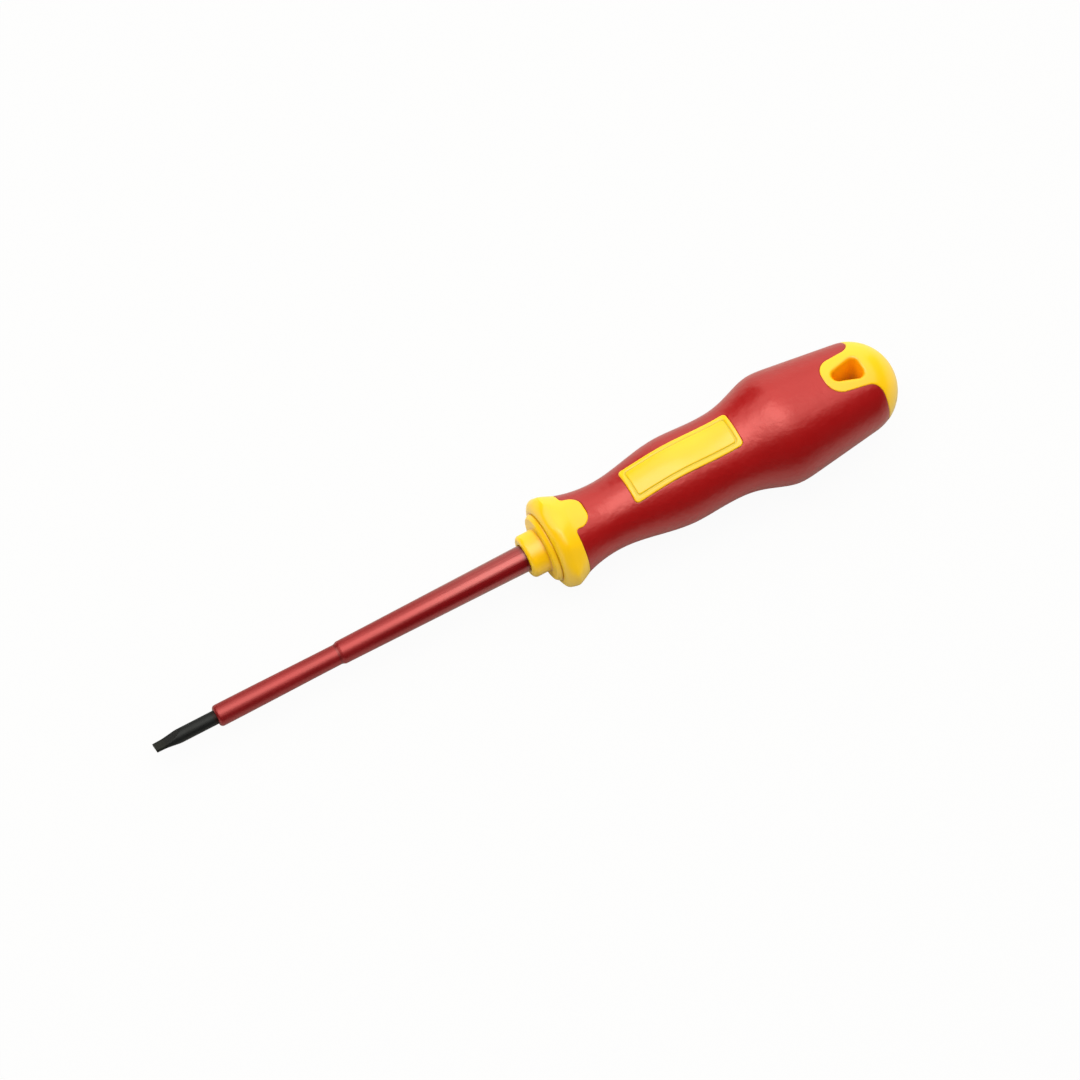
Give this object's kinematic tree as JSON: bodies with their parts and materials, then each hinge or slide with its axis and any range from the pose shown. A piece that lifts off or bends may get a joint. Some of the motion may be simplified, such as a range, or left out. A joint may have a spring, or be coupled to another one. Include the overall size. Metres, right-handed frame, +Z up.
{
  "type": "insulated screwdriver",
  "caption": "Slotted electrician's screwdriver: blackened blade in stepped red insulation, yellow collar with hexagonal guard, soft red grip, raised label plates, domed butt with hanging hole.",
  "frame": {"origin": "middle of the part's footprint, in X and Y, on the surface that the tool lies on", "axes": "+X from the blade's tip towards the butt, +Z up through the label plate; the tool's own axis rises 2.6 degrees from tip to butt because it lies on its guard and its belly"},
  "size_m": [0.2026, 0.029, 0.0291],
  "materials": {
    "blackened_steel": "blackened, satin",
    "red_insulation": "semi-gloss extruded insulation",
    "core_plastic": "natural, hidden",
    "yellow_plastic": "satin moulded",
    "red_grip": "soft matt overmoulding"
  },
  "bodies": {
    "root": {"blade": "blackened_steel", "inner_insulation": "red_insulation", "outer_insulation": "red_insulation", "handle_core": "core_plastic", "front_collar": "yellow_plastic", "grip": "red_grip", "label_plate": "yellow_plastic", "reverse_plate": "yellow_plastic", "butt_cap": "yellow_plastic"}
  },
  "joints": []
}
